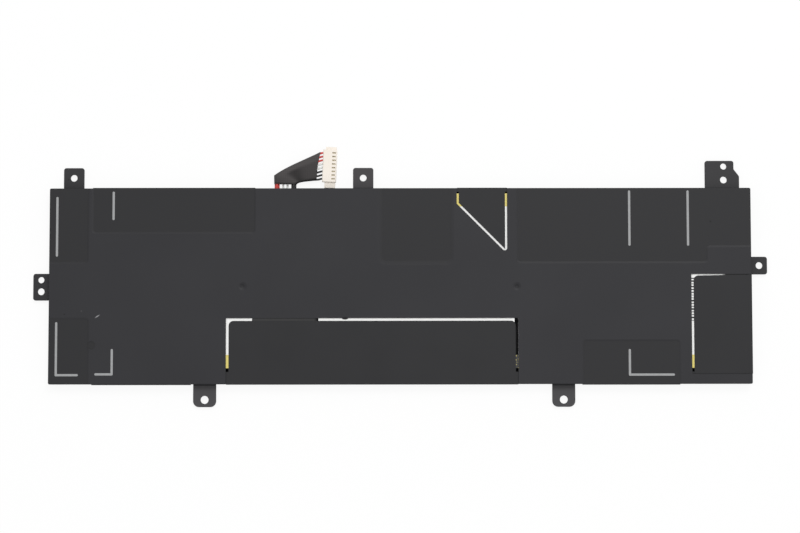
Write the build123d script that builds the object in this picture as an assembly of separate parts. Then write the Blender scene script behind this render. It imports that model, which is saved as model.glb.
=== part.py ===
from build123d import *
import os
from math import cos, radians, tan

# A laptop battery of three pouch cells. It lies on its rear face, with the marked face up.
# Millimetres. The origin is the middle of the rear face: +X runs along the pack, +Y points to the edge
# that the lead leaves, the opposite edge has a hollow rail, and +Z points out of the marked face.

# Moulded tray
tray_length = 281.0
tray_width = 78.5
pack_height = 5.5
floor_thickness = 0.4
side_wall = 1.5
lead_wall = 1.45
rail_width = 4.9
tray_corner = 0.6
face_round = 0.3
pocket_corner = 0.8

# Hollows under the rail
rail_outer_wall = 1.2
rail_inner_wall = 1.0
rail_roof = 1.2
rail_pocket_count = 12
rail_rib = 1.4

# Film over the rear face, with three flaps that fold over the edges onto the cells
film = 0.15
fold_crack = 0.12
rail_flap_left = -69.65
rail_flap_right = 47.15
rail_flap_depth = 26.35
rail_flap_slot = 1.1
flap_corner = 1.9
side_flap_depth = 24.1
side_flap_low = 3.95
side_flap_high = 43.85
side_flap_slot = 0.95
side_flap_gap = 0.65
side_flap_rise = 0.45
notch_flap_left = 22.65
notch_flap_right = 42.85
notch_flap_leg = 6.3
notch_flap_slope = 45.0
notch_flap_slot = 0.85
notch_flap_tip = 1.0

# Shallow steps in the marked face
step_depth = 0.15
step_run = 0.8
step_corner = 1.2
left_step_length = 15.6
left_step_depth = 29.9
long_step_start = 17.3
long_step_length = 65.0
long_step_depth = 17.9
middle_step_start = -8.1
middle_step_length = 28.9
middle_step_depth = 30.1
middle_step_corner = 2.5
middle_step_run = 1.8
right_step_start = 93.6
right_step_depth = 29.9
end_step_length = 17.6
end_step_depth = 23.5
rail_step_start = 67.5
rail_step_length = 38.6
rail_step_depth = 17.4
corner_step_length = 15.9
corner_step_depth = 26.3

# Pads that stand out a little from the walls, so that the pack sits tight between two frames
lead_pad = 0.2
rail_pad = 0.27
end_pad_start = 17.3
end_pad_length = 39.2

# Moulding gate dimples
gate_places = ((-63.3, 0.0), (46.7, -0.2))
gate_radius = 0.9
gate_depth = 0.18
gate_pip = 0.35

# Mark of an ejector pin
ejector_place = (-123.4, -23.7)
ejector_radius = 1.6
ejector_depth = 0.22

# Screw ears
ear_thickness = 1.0
ear_lift = 0.9
ear_root = 1.0
ear_corner = 1.0
ear_edge = 0.2
screw_hole = 2.75
pin_hole = 2.5
lead_ear_width = 8.2
lead_ear_reach = 8.6
lead_ear_hole = 4.5
first_ear_inset = 9.1
second_ear_place = -14.9
corner_ear_inset = 3.9
corner_ear_width = 13.8
corner_ear_reach = 11.3
corner_ear_step = 2.2
corner_ear_step_low = 5.05
corner_ear_step_high = 7.9
corner_ear_hole_inset = 6.3
corner_ear_screw = 3.55
corner_ear_pin = 9.0
left_ear_place = -0.2
left_ear_width = 10.75
side_ear_reach = 6.9
side_ear_hole = 3.7
left_ear_screw = -2.04
left_ear_pin = 2.63
right_ear_place = 8.2
right_ear_width = 7.1
rail_ear_places = (-78.35, 65.4)
rail_ear_width = 9.2
rail_ear_reach = 9.1
rail_ear_hole = 6.2
rail_ear_bore = 3.2
rail_ear_corner = 2.4

# Cells and what lies on them
SIDES = {"left": -1, "middle": 0, "right": 1}
cell_gap = 1.5
cell_end_clearance = 0.6
cell_rail_clearance = 1.5
cell_corner = 1.5
cell_edge = 0.8
rib_clearance = 0.3
rib_low = 2.0
rib_high = 26.0
terrace_width = 2.6
terrace_thickness = 0.4
terrace_inset = 6.0
sheet = 0.12
tape = 0.08
cell_tape_width = 5.25
board_tape_width = 5.2
board_tape_edge = 2.15
board_tape_overlap = 1.0
seam_tape_length = 26.5
seam_tape_shift = 0.4
seam_tape_width = 20.0
pad_length = 46.0
pad_width = 26.0
pad_place_y = 6.0
pad_shift = -7.0

# Circuit board along the lead edge
board_thickness = 0.8
board_width = 5.2
board_wall_gap = 0.5
board_terrace_gap = 0.5
board_end = 5.2
board_corner = 0.5
tab_spread = 40.0
tab_width = 4.0
tab_thickness = 0.15
tab_landing = 3.4
plate_thickness = 0.3
plate_margin = 0.4
chip_size = (6.0, 3.6, 0.9)
chip_place = -1.5
switch_size = (3.2, 3.2, 0.8)
switch_places = (-13.0, -8.6)
fuse_size = (4.0, 3.0, 1.0)
fuse_place = 6.0
resistor_size = (3.2, 1.6, 0.6)
resistor_place = 11.5
capacitor_size = (1.0, 0.6, 0.6)
capacitor_place = 15.8
capacitor_spacing = (1.7, 2.0)
foam_edge = 0.2
foam_lift = 0.1

# Lead of eight wires
wire_diameter = 0.8
wire_bend = 1.6
wire_pad_thickness = 0.15
wire_pad_size = (0.75, 1.6)
wire_pad_inset = 1.1
inner_pad_inset = 3.4
wire_layer = 0.82
wire_ramp = 1.6
wire_straight = 0.3
wire_fan = 1.5
wire_dip = 0.35
wire_insert = 1.5
lead_exit_clearance = 0.4
lead_x = -46.2
# Each wire: its name, its place across the exit, its turn above the edge, and its layer in the bundle
wires = (
    ("red_wire_1", -4.00, 5.05, 0),
    ("red_wire_2", -3.38, 4.85, 1),
    ("red_wire_3", -2.75, 4.70, 0),
    ("signal_wire_1", -0.90, 4.50, 0),
    ("signal_wire_2", 0.80, 4.15, 0),
    ("black_wire_1", 2.70, 3.90, 0),
    ("black_wire_2", 3.35, 3.60, 1),
    ("black_wire_3", 4.00, 3.40, 0),
)

# Tape wound round the lead
wrap = 0.15
wrap_room = 0.1
wrap_start = 2.05
wrap_shoulder = 5.5
wrap_crown = (3.2, 10.25)
wrap_heel = (5.8, 2.85)
wrap_end_high = 0.2
wrap_end_low = 0.8
wrap_edge = 0.5

# Plug on the lead
plug_x = -28.4
plug_reach = 9.35
plug_turn = 2.5
plug_length = 5.6
plug_height = 3.0
plug_pitch = 1.5
plug_end_wall = 0.75
plug_chamfer = 0.25
plug_channel = 1.0
plug_ear_length = 4.3
plug_ear_front = 0.3
plug_ear_height = 2.2
plug_low_ear = 2.4
plug_high_ear = 1.2
plug_window = (1.45, 0.6)
plug_window_front = 0.45
contact_back = 0.3
contact_front = 0.3
contact_size = (0.8, 0.8)
contact_slot = (0.4, 0.45)

# Printed alignment marks
mark_width = 0.9
mark_thickness = 0.04
left_pad_inset = 3.1
left_pad_width = 22.3
right_pad_inset = 25.26
right_pad_width = 23.45
mark_edge = 1.5
mark_left_edge = 3.88
mark_inner_edge = 1.75
mark_inner_shift = 0.24
mark_rail_edge = 3.7
mark_inner_lift = 0.3
mark_corner_shift = 0.25
mark_left_high = 23.08
mark_left_high_inner = 10.57
mark_left_low = 20.7
mark_left_low_foot = 8.36
mark_left_low_inner = 9.65
mark_left_low_inner_foot = 6.45
mark_right_high = 21.33
mark_right_low = 9.75
mark_right_low_foot = 17.45

# Levels and edges that the pieces share
half_length = tray_length / 2
half_width = tray_width / 2
floor_z = pack_height - floor_thickness
tape_z = floor_z - tape
sheet_z = tape_z - sheet
step_z = pack_height - step_depth
pocket_left = -half_length + side_wall
pocket_right = half_length - side_wall
pocket_low = -half_width + rail_width
pocket_high = half_width - lead_wall
past = 1.0

cell_room = pocket_right - pocket_left - 2 * cell_end_clearance
cell_count = len(SIDES)
cell_length = (cell_room - (cell_count - 1) * cell_gap) / cell_count
cell_pitch = cell_length + cell_gap
cell_low = pocket_low + cell_rail_clearance
board_high = pocket_high - board_wall_gap
board_low = board_high - board_width
board_top = film + board_thickness
board_half = cell_pitch + tab_spread / 2 + board_end
terrace_high = board_low - board_terrace_gap
cell_high = terrace_high - terrace_width
plate_top = board_top + plate_thickness
terrace_z = plate_top + tab_thickness / 2
board_tape_low = half_width - board_tape_edge - board_tape_width

wire_z = board_top + wire_pad_thickness + wire_diameter / 2
high_wire_z = wire_z + wire_layer
lead_top = high_wire_z + wire_diameter / 2
way_count = len(wires)
way_span = (way_count - 1) * plug_pitch
plug_half = way_span / 2 + plug_channel / 2 + plug_end_wall
plug_place = Pos(plug_x, half_width + plug_reach) * Rot(0, 0, -plug_turn)

FLAT = (Align.CENTER, Align.CENTER, Align.MIN)


def plate(left, right, low, high, bottom, top, corner=0.0):
    """A flat plate between two corners, with its upright edges rounded."""
    outline = Rectangle(right - left, high - low)
    if corner:
        outline = fillet(outline.vertices(), corner)
    return Pos((left + right) / 2, (low + high) / 2, bottom) * extrude(outline, top - bottom)


def face_of(*points):
    """The flat face inside a closed outline of straight lines."""
    return make_face(Polyline(*points, close=True))


# Openings in the tray's floor, and the flaps that lie in them


def rail_flap_outlines():
    """The opening at the rail edge, and the flap in it: a wide root on the rail and a rounded tongue."""
    edge = -half_width
    top = edge + rail_flap_depth
    opening = face_of(
        (rail_flap_left, edge - past),
        (rail_flap_right, edge - past),
        (rail_flap_right, top),
        (rail_flap_left, top),
    )
    root = Pos((rail_flap_left + rail_flap_right) / 2, (edge - film + pocket_low) / 2) * Rectangle(
        rail_flap_right - rail_flap_left - 2 * fold_crack, pocket_low - edge + film
    )
    left = rail_flap_left + rail_flap_slot
    right = rail_flap_right - rail_flap_slot
    tongue_high = top - rail_flap_slot
    tongue = Pos((left + right) / 2, (edge + tongue_high) / 2) * Rectangle(right - left, tongue_high - edge)
    tongue = fillet(tongue.vertices().group_by(Axis.Y)[-1], flap_corner)
    return opening, root + tongue


def side_flap_outlines():
    """The opening at the right end, and the flap in it, whose upper edge rises a little to the fold."""
    edge = half_length
    low = -half_width + side_flap_low
    high = -half_width + side_flap_high
    left = edge - side_flap_depth
    opening = face_of((edge + past, low), (edge + past, high), (left, high), (left, low))
    flap_left = left + side_flap_slot
    flap_high = high - side_flap_gap
    fold = edge + film
    flap = face_of(
        (fold, low + fold_crack),
        (fold, high - fold_crack),
        (pocket_right, high - fold_crack),
        (pocket_right, flap_high + side_flap_rise),
        (flap_left, flap_high),
        (flap_left, low + fold_crack),
    )
    corner = flap.vertices().sort_by_distance((flap_left, flap_high))[0]
    return opening, fillet(corner, flap_corner)


def notch_flap_outlines():
    """The three-sided opening at the lead edge, and the flap in it, with a wide root on the wall."""
    edge = half_width
    leg_low = edge - notch_flap_leg
    tip_low = leg_low - (notch_flap_right - notch_flap_left) * tan(radians(notch_flap_slope))
    opening = face_of(
        (notch_flap_left, edge + past),
        (notch_flap_left, leg_low),
        (notch_flap_right, tip_low),
        (notch_flap_right, edge + past),
    )
    tip = opening.vertices().sort_by(Axis.Y)[0]
    opening = fillet(tip, notch_flap_tip)
    left = notch_flap_left + notch_flap_slot
    right = notch_flap_right - notch_flap_slot
    slope = tan(radians(notch_flap_slope))
    rise = notch_flap_slot / cos(radians(notch_flap_slope))
    flap = face_of(
        (left, edge),
        (left, leg_low - slope * notch_flap_slot + rise),
        (right, tip_low + slope * notch_flap_slot + rise),
        (right, edge),
    )
    root = Pos((notch_flap_left + notch_flap_right) / 2, (pocket_high + edge + film) / 2) * Rectangle(
        notch_flap_right - notch_flap_left - 2 * fold_crack, edge + film - pocket_high
    )
    return opening, flap + root


# The tray


def ear_plate(edge, outline, holes):
    """An ear's outline as a plate at the ears' level, with its upper rim bevelled and its holes cut."""
    solid = extrude(outline, ear_thickness)
    solid = chamfer(solid.faces().sort_by(Axis.Z)[-1].edges(), ear_edge)
    for along, out, diameter in holes:
        solid -= Pos(along, out) * extrude(Circle(diameter / 2), ear_thickness)
    return edge * Pos(0, 0, ear_lift) * solid


def ear(edge, place, width, reach, corner, holes):
    """A screw ear on one edge: a flat tongue with rounded outer corners and its holes, from the wall out."""
    tongue = Pos(place, -ear_root) * Rectangle(width, reach + ear_root, align=(Align.CENTER, Align.MIN))
    tongue = fillet(tongue.vertices().group_by(Axis.Y)[-1], corner)
    return ear_plate(edge, tongue, holes)


def corner_ear(edge):
    """The ear near the right end: a screw hole under a pin hole, and an outer side that curves in."""
    right = half_length - corner_ear_inset
    left = right - corner_ear_width
    outline = face_of(
        (left, -ear_root),
        (right, -ear_root),
        (right, corner_ear_step_low),
        (right - corner_ear_step, corner_ear_step_high),
        (right - corner_ear_step, corner_ear_reach),
        (left, corner_ear_reach),
    )
    for x, y in ((right, corner_ear_step_low), (right - corner_ear_step, corner_ear_step_high)):
        outline = fillet(outline.vertices().sort_by_distance((x, y))[0], ear_corner)
    outline = fillet(outline.vertices().group_by(Axis.Y)[-1], ear_corner)
    hole_place = right - corner_ear_hole_inset
    holes = [(hole_place, corner_ear_screw, screw_hole), (hole_place, corner_ear_pin, pin_hole)]
    return ear_plate(edge, outline, holes)


def ears():
    """All seven ears, each drawn on its own edge, with one axis along the edge and the other outward."""
    lead_edge = Pos(0, half_width)
    rail_edge = Pos(0, -half_width) * Rot(0, 0, 180)
    left_edge = Pos(-half_length, 0) * Rot(0, 0, 90)
    right_edge = Pos(half_length, 0) * Rot(0, 0, -90)
    first = -half_length + first_ear_inset
    made = [corner_ear(lead_edge)]
    for place in (first, second_ear_place):
        hole = (place, lead_ear_hole, screw_hole)
        made.append(ear(lead_edge, place, lead_ear_width, lead_ear_reach, ear_corner, [hole]))
    for place in rail_ear_places:
        hole = (-place, rail_ear_hole, rail_ear_bore)
        made.append(ear(rail_edge, -place, rail_ear_width, rail_ear_reach, rail_ear_corner, [hole]))
    left_holes = [(left_ear_screw, side_ear_hole, screw_hole), (left_ear_pin, side_ear_hole, pin_hole)]
    made.append(ear(left_edge, left_ear_place, left_ear_width, side_ear_reach, ear_corner, left_holes))
    right_hole = (-right_ear_place, side_ear_hole, screw_hole)
    made.append(ear(right_edge, -right_ear_place, right_ear_width, side_ear_reach, ear_corner, [right_hole]))
    return made


def soft_step(outline, corner, run):
    """One step in the marked face. Its sides slope from the face to the step's floor, past the outline."""
    inside = [v for v in outline.vertices() if abs(v.X) < half_length and abs(v.Y) < half_width]
    outline = fillet(inside, corner)
    rim = offset(outline, run / 2, kind=Kind.INTERSECTION)
    floor = offset(outline, -run / 2, kind=Kind.INTERSECTION)
    return loft([Pos(0, 0, step_z) * floor, Pos(0, 0, pack_height) * rim], ruled=True)


def face_steps():
    """The shallow steps in the marked face, each open at an edge of the tray."""
    clear = past + max(step_run, middle_step_run)
    high = half_width + clear
    left_end = -half_length
    right_end = half_length
    left = face_of(
        (left_end - clear, high),
        (left_end - clear, half_width - left_step_depth),
        (left_end + left_step_length, half_width - left_step_depth),
        (left_end + left_step_length, high),
    )
    long_left = left_end + long_step_start
    long = face_of(
        (long_left, high),
        (long_left, half_width - long_step_depth),
        (long_left + long_step_length, half_width - long_step_depth),
        (long_left + long_step_length, high),
    )
    middle = face_of(
        (middle_step_start, high),
        (middle_step_start, half_width - middle_step_depth),
        (middle_step_start + middle_step_length, half_width - middle_step_depth),
        (middle_step_start + middle_step_length, high),
    )
    right = face_of(
        (right_end - right_step_start, high),
        (right_end - right_step_start, half_width - right_step_depth),
        (right_end - end_step_length, half_width - right_step_depth),
        (right_end - end_step_length, half_width - end_step_depth),
        (right_end + clear, half_width - end_step_depth),
        (right_end + clear, high),
    )
    rail_left = right_end - rail_step_start
    rail = face_of(
        (rail_left, -high),
        (rail_left + rail_step_length, -high),
        (rail_left + rail_step_length, -half_width + rail_step_depth),
        (rail_left, -half_width + rail_step_depth),
    )
    corner = face_of(
        (left_end - clear, -high),
        (left_end + corner_step_length, -high),
        (left_end + corner_step_length, -half_width + corner_step_depth),
        (left_end - clear, -half_width + corner_step_depth),
    )
    steps = [soft_step(outline, step_corner, step_run) for outline in (left, long, right, rail, corner)]
    return steps + [soft_step(middle, middle_step_corner, middle_step_run)]


def rail_pockets():
    """The hollows under the rail, open to the rear, with a rib left between each two."""
    low = -half_width + rail_outer_wall
    high = pocket_low - rail_inner_wall
    pitch = (pocket_right - pocket_left + rail_rib) / rail_pocket_count
    pockets = []
    for k in range(rail_pocket_count):
        left = pocket_left + k * pitch
        pockets.append(plate(left, left + pitch - rail_rib, low, high, film, floor_z - rail_roof))
    return pockets


def lead_exit():
    """The notch under the lead wall's edge that the wires leave by."""
    places = [lead_x + across for name, across, turn, layer in wires]
    room = wire_diameter / 2 + lead_exit_clearance
    top = lead_top + lead_exit_clearance
    return plate(min(places) - room, max(places) + room, pocket_high - past, half_width + past, film, top)


def wall_pads():
    """The pads on the long walls: beside the long step, beside the rail step and near the left end."""
    long_left = -half_length + long_step_start
    rail_left = half_length - rail_step_start
    end_left = -half_length + end_pad_start
    lead_edge = half_width - face_round
    rail_edge = -half_width + face_round
    return [
        plate(long_left, long_left + long_step_length, lead_edge, half_width + lead_pad, film, step_z),
        plate(rail_left, rail_left + rail_step_length, -half_width - rail_pad, rail_edge, film, step_z),
        plate(end_left, end_left + end_pad_length, -half_width - rail_pad, rail_edge, film, step_z),
    ]


def make_tray():
    """The moulded tray: a thin floor with openings and steps, walls, a hollow rail, ribs and seven ears."""
    outline = RectangleRounded(tray_length, tray_width, tray_corner)
    body = Pos(0, 0, film) * extrude(outline, pack_height - film)
    body = fillet(body.faces().sort_by(Axis.Z)[-1].edges(), face_round)
    body -= plate(pocket_left, pocket_right, pocket_low, pocket_high, film, floor_z, pocket_corner)
    body -= rail_pockets()
    body += wall_pads()
    body -= lead_exit()
    for seam in (-cell_pitch / 2, cell_pitch / 2):
        half_rib = cell_gap / 2 - rib_clearance
        body += plate(seam - half_rib, seam + half_rib, rib_low, rib_high, film, floor_z)
    body -= face_steps()
    for opening, flap in (rail_flap_outlines(), side_flap_outlines(), notch_flap_outlines()):
        body -= Pos(0, 0, floor_z) * extrude(opening, pack_height)
    for x, y in gate_places:
        dimple = Circle(gate_radius) - Circle(gate_pip)
        body -= Pos(x, y, pack_height - gate_depth) * extrude(dimple, pack_height)
    body -= Pos(*ejector_place, pack_height - ejector_depth) * extrude(Circle(ejector_radius), pack_height)
    return body + ears()


# The film


def make_film():
    """The rear sheet, with three bands up the edges and the flaps that they carry."""
    rail_flap = rail_flap_outlines()[1]
    side_flap = side_flap_outlines()[1]
    notch_flap = notch_flap_outlines()[1]
    top = floor_z + film
    body = extrude(RectangleRounded(tray_length, tray_width, tray_corner), film)
    rail_left = rail_flap_left + fold_crack
    rail_right = rail_flap_right - fold_crack
    body += plate(rail_left, rail_right, -half_width - film, -half_width, 0, top)
    side_low = -half_width + side_flap_low + fold_crack
    side_high = -half_width + side_flap_high - fold_crack
    body += plate(half_length, half_length + film, side_low, side_high, 0, top)
    notch_left = notch_flap_left + fold_crack
    notch_right = notch_flap_right - fold_crack
    body += plate(notch_left, notch_right, half_width, half_width + film, 0, top)
    for flap in (rail_flap, side_flap, notch_flap):
        body += Pos(0, 0, floor_z) * extrude(flap, film)
    return body


# Cells, sheets and tapes


def make_cell(side):
    """A pouch cell: a soft-edged block with its sealed terrace at the board."""
    middle = side * cell_pitch
    left = middle - cell_length / 2
    right = middle + cell_length / 2
    block = plate(left, right, cell_low, cell_high, film, sheet_z, cell_corner)
    rims = block.faces().sort_by(Axis.Z)
    block = fillet(rims[0].edges() + rims[-1].edges(), cell_edge)
    terrace_low = cell_high - past
    low = terrace_z - terrace_thickness / 2
    high = terrace_z + terrace_thickness / 2
    return block + plate(left + terrace_inset, right - terrace_inset, terrace_low, terrace_high, low, high)


def make_sheet(side):
    """The white insulating sheet on a cell, long enough to reach under the board's tape."""
    middle = side * cell_pitch
    high = board_tape_low + board_tape_overlap
    return plate(middle - cell_length / 2, middle + cell_length / 2, cell_low, high, sheet_z, tape_z)


def make_tab(side, end):
    """A metal tab, from the cell's terrace onto its weld plate."""
    middle = side * cell_pitch + end * tab_spread / 2
    half = tab_width / 2
    high = board_low + tab_landing
    return plate(middle - half, middle + half, terrace_high, high, plate_top, plate_top + tab_thickness)


def make_pad(side):
    """The adhesive pad that holds a cell's sheet to the tray's floor, clear of the openings."""
    middle = side * cell_pitch + pad_shift
    half = pad_length / 2
    low = pad_place_y - pad_width / 2
    return plate(middle - half, middle + half, low, low + pad_width, tape_z, floor_z)


def make_cell_tape():
    """The long tape that ties the three cells along the rail."""
    left = -cell_pitch - cell_length / 2
    return plate(left, -left, cell_low, cell_low + cell_tape_width, tape_z, floor_z)


def make_board_tape():
    """The tape over the board, from the edge of the sheets to the lead wall."""
    low = board_tape_low
    return plate(-board_half, board_half, low, low + board_tape_width, tape_z, floor_z)


def make_seam_tape():
    """The black tape across the seam of the left and middle cells, under the rail flap's upper slot."""
    slot_middle = -half_width + rail_flap_depth - rail_flap_slot / 2
    low = slot_middle - seam_tape_width / 2
    middle = -cell_pitch / 2 + seam_tape_shift
    half = seam_tape_length / 2
    return plate(middle - half, middle + half, low, low + seam_tape_width, tape_z, floor_z)


# The board and its parts


def make_board():
    """The long narrow circuit board, resting on the film in the bay along the lead wall."""
    return plate(-board_half, board_half, board_low, board_high, film, board_top, board_corner)


def board_part(size, x, y=0.0):
    """A part on the board, placed from the middle of the space between two cells' tabs."""
    middle = (board_low + board_high) / 2
    return Pos(cell_pitch / 2 + x, middle + y, board_top) * Box(*size, align=FLAT)


def make_plates():
    """The six weld plates that the tabs lie on."""
    half = tab_width / 2 + plate_margin
    made = []
    for side in SIDES.values():
        for end in (-1, 1):
            middle = side * cell_pitch + end * tab_spread / 2
            high = board_low + tab_landing + plate_margin
            made.append(plate(middle - half, middle + half, board_low, high, board_top, plate_top))
    return Compound(made)


def make_capacitors():
    """Four small capacitors in two rows."""
    across, along = capacitor_spacing
    made = []
    for column in (-0.5, 0.5):
        for row in (-0.5, 0.5):
            made.append(board_part(capacitor_size, capacitor_place + column * across, row * along))
    return Compound(made)


def make_foam():
    """The foam strip that fills the bay between the board and its tape."""
    low = board_tape_low + board_tape_overlap + foam_edge
    high = board_tape_low + board_tape_width
    return plate(-board_half, board_half, low, high, lead_top + foam_lift, tape_z)


# The lead and its plug


def at_plug(x, y, z):
    """A place given from the middle of the plug, turned with it."""
    return (plug_place * Pos(x, y, z)).position


def way(k):
    """The place of one way across the plug, counted from its far end."""
    return way_span / 2 - k * plug_pitch


def wire_pad_place(across, layer):
    """The middle of a wire's pad on the board: wires of the upper layer end further in."""
    inset = inner_pad_inset if layer else wire_pad_inset
    return lead_x + across, board_high - inset


def fan_place(k):
    """Where a wire leaves the wrap, a little below its way, so that the wires rise into the plug."""
    return at_plug(-plug_length / 2, way(k), wire_z) - Vector(wire_fan, wire_dip)


def make_wire(k):
    """One wire: off its pad, out under the wall, round a bend in the wrap, and straight into its way."""
    name, across, turn, layer = wires[k]
    x, pad_y = wire_pad_place(across, layer)
    level = high_wire_z if layer else wire_z
    rear = -plug_length / 2
    points = [Vector(x, pad_y - wire_pad_size[1] / 2, wire_z)]
    if layer:
        points.append(Vector(x, pad_y - wire_pad_size[1] / 2 + wire_ramp, level))
    points.append(Vector(x, half_width + turn, level))
    points.append(fan_place(k))
    points.append(at_plug(rear - wire_straight, way(k), wire_z))
    points.append(at_plug(rear + wire_insert, way(k), wire_z))
    bends = [wire_bend] * (len(points) - 2)
    path = FilletPolyline(*points, radius=bends)
    section = Plane(origin=path @ 0, z_dir=path % 0) * Circle(wire_diameter / 2)
    return sweep(section, path)


def make_wire_pads():
    """The eight pads that the wires are soldered to."""
    across_pad, along_pad = wire_pad_size
    made = []
    for name, across, turn, layer in wires:
        x, y = wire_pad_place(across, layer)
        made.append(Pos(x, y, board_top) * Box(across_pad, along_pad, wire_pad_thickness, align=FLAT))
    return Compound(made)


def make_wrap():
    """The tape round the lead: a flat sleeve that turns from the exit to the plug, open at both ends."""
    room = wire_diameter / 2 + wrap_room + wrap
    left = lead_x + wires[0][1] - room
    right = lead_x + wires[-1][1] + room
    start = half_width + wrap_start
    end_high = fan_place(0) + Vector(-wrap_end_high, room)
    end_low = fan_place(way_count - 1) - Vector(wrap_end_low, room)
    crown = (lead_x + wrap_crown[0], half_width + wrap_crown[1])
    heel = (lead_x + wrap_heel[0], half_width + wrap_heel[1])
    shoulder = (left, half_width + wrap_shoulder)
    rim = [
        Line((left, start), shoulder),
        ThreePointArc(shoulder, crown, (end_high.X, end_high.Y)),
        Polyline((end_high.X, end_high.Y), (end_low.X, end_low.Y), heel, (right, start), (left, start)),
    ]
    outline = make_face(rim)
    bottom = wire_z - room
    top = lead_top + wrap_room + wrap
    body = Pos(0, 0, bottom) * extrude(outline, top - bottom)
    long_edges = [e for e in body.edges() if abs((e @ 0).Z - (e @ 1).Z) < wrap and e.length > 2 * wrap]
    body = fillet(ShapeList(long_edges), wrap_edge)
    inner = offset(outline, -wrap, kind=Kind.INTERSECTION)
    mouth = Pos((left + right) / 2, start) * Rectangle(right - left - 2 * wrap, 2 * wrap_edge)
    end = face_of(
        (end_high.X - past, end_high.Y - 2 * wrap),
        (end_high.X + past, end_high.Y - wrap),
        (end_low.X + past, end_low.Y + wrap),
        (end_low.X - past, end_low.Y + wrap),
    )
    hollow = inner + mouth + end
    return body - Pos(0, 0, bottom + wrap) * extrude(hollow, top - bottom - 2 * wrap)


def make_plug():
    """The plug's housing: a bar with a channel for each wire, a window over each contact and two end ears."""
    outline = Rectangle(plug_length, 2 * plug_half)
    bar = extrude(outline, plug_height)
    bar = chamfer(bar.edges().filter_by(Axis.Y).group_by(Axis.Z)[-1], plug_chamfer)
    front = plug_length / 2
    ear_left = front - plug_ear_front - plug_ear_length
    ear_right = front - plug_ear_front
    ear_low = -plug_half - plug_low_ear
    ear_high = plug_half + plug_high_ear
    bar += plate(ear_left, ear_right, ear_low, ear_high, 0, plug_ear_height)
    for k in range(way_count):
        bar -= Pos(0, way(k), wire_z) * Box(plug_length, plug_channel, plug_channel)
        window_x = front - plug_window_front - plug_window[0] / 2
        bar -= Pos(window_x, way(k), wire_z) * Box(*plug_window, plug_height, align=FLAT)
    return plug_place * bar


def make_contacts():
    """The eight crimped contacts, each a small box split at its front, behind its wire's end."""
    back = -plug_length / 2 + wire_insert + contact_back
    front = plug_length / 2 - contact_front
    width, height = contact_size
    slot_width, slot_height = contact_slot
    low = wire_z - plug_channel / 2
    middle = (back + front) / 2
    made = []
    for k in range(way_count):
        contact = Pos(middle, way(k), low) * Box(front - back, width, height, align=FLAT)
        slot = Pos(front, way(k), low + height / 2) * Box(front - back, slot_width, slot_height)
        made.append(plug_place * (contact - slot))
    return Compound(made)


# The printed marks


def stroke(x0, y0, x1, y1):
    """One printed line with round ends, along an axis."""
    length = abs(x1 - x0) + abs(y1 - y0)
    turn = 0 if y0 == y1 else 90
    return Pos((x0 + x1) / 2, (y0 + y1) / 2) * Rot(0, 0, turn) * SlotCenterToCenter(length, mark_width)


def make_marks():
    """Printed lines that show where two pads go: straight ones at the lead edge, corners at the rail."""
    left = -half_length + left_pad_inset
    left_inner = left + left_pad_width
    right = half_length - right_pad_inset
    right_inner = right - right_pad_width
    high = half_width - mark_edge
    left_high = half_width - mark_left_edge
    inner = left_inner + mark_inner_shift
    inner_high = half_width - mark_inner_edge
    low = -half_width + mark_rail_edge
    inner_low = low + mark_inner_lift
    corner = right_inner - mark_corner_shift
    on_steps = [
        stroke(left, left_high, left, left_high - mark_left_high),
        stroke(inner, inner_high, inner, inner_high - mark_left_high_inner),
        stroke(right_inner, high, right_inner, high - mark_right_high),
        stroke(right, high, right, high - mark_right_high),
        stroke(corner, low, corner, low + mark_right_low)
        + stroke(corner, low, corner + mark_right_low_foot, low),
        stroke(left, low, left, low + mark_left_low) + stroke(left, low, left + mark_left_low_foot, low),
    ]
    on_face = stroke(left_inner, inner_low, left_inner, inner_low + mark_left_low_inner)
    on_face += stroke(left_inner - mark_left_low_inner_foot, inner_low, left_inner, inner_low)
    made = [Pos(0, 0, step_z) * extrude(mark, mark_thickness) for mark in on_steps]
    return Compound(made + [Pos(0, 0, pack_height) * extrude(on_face, mark_thickness)])


pieces = {
    "tray": make_tray(),
    "rear_film": make_film(),
    "cell_tape": make_cell_tape(),
    "board_tape": make_board_tape(),
    "seam_tape": make_seam_tape(),
    "circuit_board": make_board(),
    "weld_plates": make_plates(),
    "wire_pads": make_wire_pads(),
    "gauge_chip": board_part(chip_size, chip_place),
    "power_switches": Compound([board_part(switch_size, place) for place in switch_places]),
    "fuse": board_part(fuse_size, fuse_place),
    "sense_resistor": board_part(resistor_size, resistor_place),
    "capacitors": make_capacitors(),
    "board_foam": make_foam(),
    "lead_wrap": make_wrap(),
    "plug_housing": make_plug(),
    "plug_contacts": make_contacts(),
    "alignment_marks": make_marks(),
}
for side_name, side in SIDES.items():
    pieces["cell_" + side_name] = make_cell(side)
    pieces["insulating_sheet_" + side_name] = make_sheet(side)
    pieces["adhesive_pad_" + side_name] = make_pad(side)
    pieces["negative_tab_" + side_name] = make_tab(side, -1)
    pieces["positive_tab_" + side_name] = make_tab(side, 1)
for k, wire in enumerate(wires):
    pieces[wire[0]] = make_wire(k)

os.makedirs("parts", exist_ok=True)
for name, piece in pieces.items():
    export_step(piece, "parts/" + name + ".step")
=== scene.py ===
import math

import bmesh
import bpy
from mathutils import Matrix, Vector, noise
from mathutils.geometry import interpolate_bezier


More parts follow.
